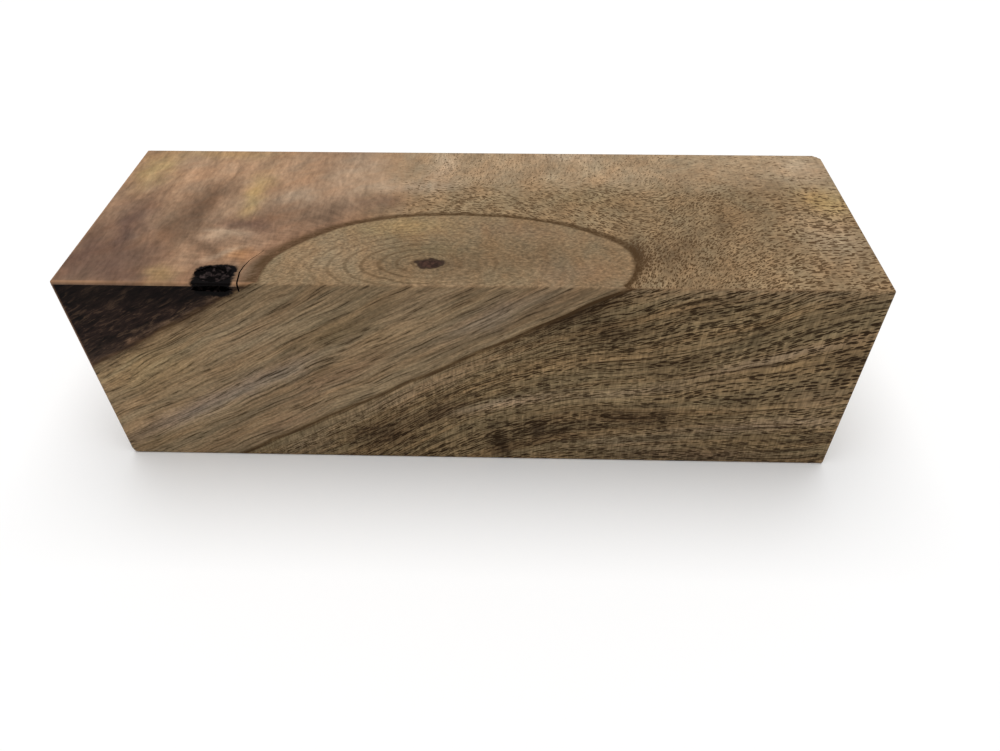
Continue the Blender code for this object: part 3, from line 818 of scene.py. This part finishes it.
# The pith is a soft brown core with a darker rim
pith = add(tree, "Math", {0: stray, 1: 1.0, 2: from_pith}, operation="MULTIPLY_ADD").outputs[0]
speck = add(tree, "TexNoise", {"Vector": place, "Scale": 1 / SPECK_SIZE, "Detail": 2.0}).outputs[0]
speck = add(tree, "MapRange", {0: speck, 1: 0.4, 2: 0.6, 3: 0.0, 4: 1.0}).outputs[0]
pith_core = add(tree, "Mix", {0: speck, 6: PITH_RIM, 7: PITH_TONE}, data_type="RGBA").outputs[2]
for tone_in, reach in ((PITH_RIM, PITH_RADIUS), (pith_core, PITH_CORE)):
    pith_in = add(tree, "MapRange", {0: pith, 1: reach, 2: reach - 0.3, 3: 0.0, 4: 0.9},
                  interpolation_type="SMOOTHSTEP").outputs[0]
    colour = add(tree, "Mix", {0: pith_in, 6: colour, 7: tone_in}, data_type="RGBA").outputs[2]

# The shut-in bark: nearly black and drawn out along the branch, blackest at the top and browner low down,
# with pale wisps and threads
wisps_at = add(tree, "VectorMath", {0: grains["branch_grain"], 1: per_mm(WISP_SIZE)},
               operation="MULTIPLY").outputs[0]
wisps = add(tree, "TexNoise", {"Vector": wisps_at, "Scale": 1.0, "Detail": 5.0, "Roughness": 0.68,
                               "Distortion": 0.5}).outputs[0]
ragged = add(tree, "MapRange", {0: wisps, 1: 0.3, 2: 0.7, 3: -1.6, 4: 1.6}).outputs[0]
bark_edge = add(tree, "Math", {0: fields["bark_over"], 1: ragged}, operation="ADD").outputs[0]
is_over = add(tree, "MapRange", {0: bark_edge, 1: -1.4, 2: 1.6, 3: 0.0, 4: 1.0},
              interpolation_type="SMOOTHSTEP").outputs[0]
is_behind = add(tree, "MapRange", {0: fields["bark_behind"], 1: -0.08, 2: 0.04, 3: 0.0, 4: 1.0}).outputs[0]
is_bark = add(tree, "Math", {0: is_over, 1: is_behind}, operation="MULTIPLY").outputs[0]
threads_at = add(tree, "VectorMath", {0: grains["branch_grain"], 1: per_mm(THREAD_SIZE)},
                 operation="MULTIPLY").outputs[0]
threads = add(tree, "TexNoise", {"Vector": threads_at, "Scale": 1.0, "Detail": 3.0,
                                 "Distortion": 0.9}).outputs[0]
height_up = add(tree, "SeparateXYZ", {0: place}).outputs[2]
brown = add(tree, "MapRange", {0: wisps, 1: 0.32, 2: 0.55, 3: 0.0, 4: 1.0}).outputs[0]
pale = add(tree, "MapRange", {0: wisps, 1: 0.58, 2: 0.75, 3: 0.0, 4: 0.7}).outputs[0]
low_down = add(tree, "MapRange", {0: height_up, 1: 31.0, 2: 23.0, 3: 0.0, 4: 0.6},
               interpolation_type="SMOOTHSTEP").outputs[0]
pale_thread = add(tree, "MapRange", {0: threads, 1: 0.55, 2: 0.75, 3: 0.0, 4: 0.6}).outputs[0]
dark_thread = add(tree, "MapRange", {0: threads, 1: 0.47, 2: 0.3, 3: 0.0, 4: 0.8}).outputs[0]
high_up = add(tree, "MapRange", {0: height_up, 1: 34.5, 2: 38.5, 3: 0.0, 4: 0.6},
              interpolation_type="SMOOTHSTEP").outputs[0]
bark_colour = BARK_BLACK
for share, tone_in in ((brown, BARK_BROWN), (pale, BARK_PALE), (low_down, BARK_OLD), (pale_thread, BARK_PALE),
                       (dark_thread, BARK_BLACK), (high_up, BARK_BLACK)):
    bark_colour = add(tree, "Mix", {0: share, 6: bark_colour, 7: tone_in}, data_type="RGBA").outputs[2]
colour = add(tree, "Mix", {0: is_bark, 6: colour, 7: bark_colour}, data_type="RGBA").outputs[2]

# The eased arrises are painted paler, partly as wear and partly as a painted highlight along them, most of
# all beside the smoky wood
worn_and_highlit = add(tree, "MapRange", {0: fields["from_arris"], 1: 0.55, 2: 0.1, 3: 0.0, 4: 0.6}).outputs[0]
wear_and_highlight_here = add(tree, "MapRange", {0: drift, 1: 0.4, 2: 0.6, 3: 0.3, 4: 1.0}).outputs[0]
wear_and_highlight_share = add(tree, "MapRange", {0: is_smoky, 1: 0.0, 2: 1.0, 3: 0.25, 4: 1.0}).outputs[0]
for share in (wear_and_highlight_here, wear_and_highlight_share):
    worn_and_highlit = add(tree, "Math", {0: worn_and_highlit, 1: share}, operation="MULTIPLY").outputs[0]
colour = add(tree, "Mix", {0: worn_and_highlit, 6: colour, 7: ARRIS_WEAR_AND_HIGHLIGHT_TONE}, data_type="RGBA").outputs[2]

# The wood round the pocket is painted black, out to the top front arris and a little way down the front face
pocket_black = add(tree, "Math", {0: speck, 1: 0.3, 2: -0.15}, operation="MULTIPLY_ADD").outputs[0]
pocket_black = add(tree, "Math", {0: pocket_black, 1: fields["from_pit"]}, operation="ADD").outputs[0]
pocket_black = add(tree, "Math", {0: waver, 1: 2.0, 2: pocket_black}, operation="MULTIPLY_ADD").outputs[0]
pocket_black = add(tree, "MapRange", {0: pocket_black, 1: 0.7, 2: 0.0, 3: 0.0, 4: 1.0},
                interpolation_type="SMOOTHSTEP").outputs[0]
colour = add(tree, "Mix", {0: pocket_black, 6: colour, 7: BARK_BLACK}, data_type="RGBA").outputs[2]


# The pores are troughs, and the surface is dull with a faint sheen
bump = add(tree, "Bump", {"Height": pores, "Strength": 0.5, "Distance": PORE_TROUGH}, invert=True).outputs[0]
tree.links.new(colour, shader.inputs["Base Color"])
tree.links.new(bump, shader.inputs["Normal"])
shader.inputs["Roughness"].default_value = WOOD_ROUGHNESS
shader.inputs["Specular IOR Level"].default_value = WOOD_SPECULAR

# The crumbled bark in the pocket: nearly black and dull, with grey-brown flecks that are partly crumbs and
# partly painted glints of light
bark.use_nodes = True
bark_tree = bark.node_tree
bark_shader = bark_tree.nodes["Principled BSDF"]
crumb_glints_at = add(bark_tree, "TexCoord").outputs["Object"]
crumb_glints_at = add(bark_tree, "VectorMath", {0: crumb_glints_at, "Scale": 1 / MM}, operation="SCALE").outputs[0]
crumbs_and_glints = add(bark_tree, "TexNoise", {"Vector": crumb_glints_at, "Scale": 1 / CRUMB_GLINT_SIZE, "Detail": 3.0,
                                     "Distortion": 0.6}).outputs[0]
crumbs_and_glints = add(bark_tree, "MapRange", {0: crumbs_and_glints, 1: 0.5, 2: 0.72, 3: 0.0, 4: 0.8}).outputs[0]
crumbs_and_glints = add(bark_tree, "Mix", {0: crumbs_and_glints, 6: CRUMB_BLACK, 7: CRUMB_GLINT_GREY}, data_type="RGBA").outputs[2]
bark_tree.links.new(crumbs_and_glints, bark_shader.inputs["Base Color"])
bark_shader.inputs["Roughness"].default_value = BARK_ROUGHNESS
bark_shader.inputs["Specular IOR Level"].default_value = BARK_SPECULAR

# The arrises shade round, and the faces stay flat
bpy.ops.object.select_all(action="DESELECT")
block.select_set(True)
bpy.context.view_layer.objects.active = block
bpy.ops.object.shade_smooth_by_angle(angle=SMOOTH_ANGLE)

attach(block, "root")
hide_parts("mango_wood_block")


# The studio
# A plain pale floor, a large soft lamp straight overhead and pale light all round, as for a catalogue
# picture: the top face is bright, and the front is lit from the floor and the sky to six tenths of it.
FLOOR_SIZE = 3.0
FLOOR_GREY = 0.95                      # its linear colour
LAMP_SIZE = 2.0
LAMP_PLACE = (0.0, 0.25, 2.0)
LAMP_WATTS = 42.0
SKY_STRENGTH = 0.30
CAMERA_PLACE = (8.19 * MM, -119.3 * MM, 113.7 * MM)
CAMERA_TURN = (46.69, 0.28, 1.51)      # in degrees
CAMERA_LENS = 27.80                    # in mm, before a film 36 mm wide
CAMERA_FILM = 36.0

bpy.ops.object.select_all(action="DESELECT")
bpy.ops.mesh.primitive_plane_add(size=FLOOR_SIZE, location=(0.0, 0.0, base))
floor = bpy.context.object
floor.name = "studio_floor"
paper = bpy.data.materials.new("white_paper")
paper.use_nodes = True
paper_shader = paper.node_tree.nodes["Principled BSDF"]
paper_shader.inputs["Base Color"].default_value = (FLOOR_GREY, FLOOR_GREY, FLOOR_GREY, 1.0)
paper_shader.inputs["Roughness"].default_value = 0.9
paper_shader.inputs["Specular IOR Level"].default_value = 0.0
floor.data.materials.append(paper)

bpy.ops.object.light_add(type="AREA", location=LAMP_PLACE)
lamp = bpy.context.object
lamp.name = "overhead_softbox"
lamp.data.shape = "SQUARE"
lamp.data.size = LAMP_SIZE
lamp.data.energy = LAMP_WATTS

world = bpy.data.worlds.new("pale_studio")
world.use_nodes = True
sky = world.node_tree.nodes["Background"]
sky.inputs["Color"].default_value = (1.0, 1.0, 1.0, 1.0)
sky.inputs["Strength"].default_value = SKY_STRENGTH
bpy.context.scene.world = world
bpy.context.scene.view_settings.view_transform = "Standard"

bpy.ops.object.camera_add(location=CAMERA_PLACE, rotation=[math.radians(a) for a in CAMERA_TURN])
camera = bpy.context.object
camera.data.lens = CAMERA_LENS
camera.data.sensor_width = CAMERA_FILM
camera.data.clip_start = 0.01
bpy.context.scene.camera = camera
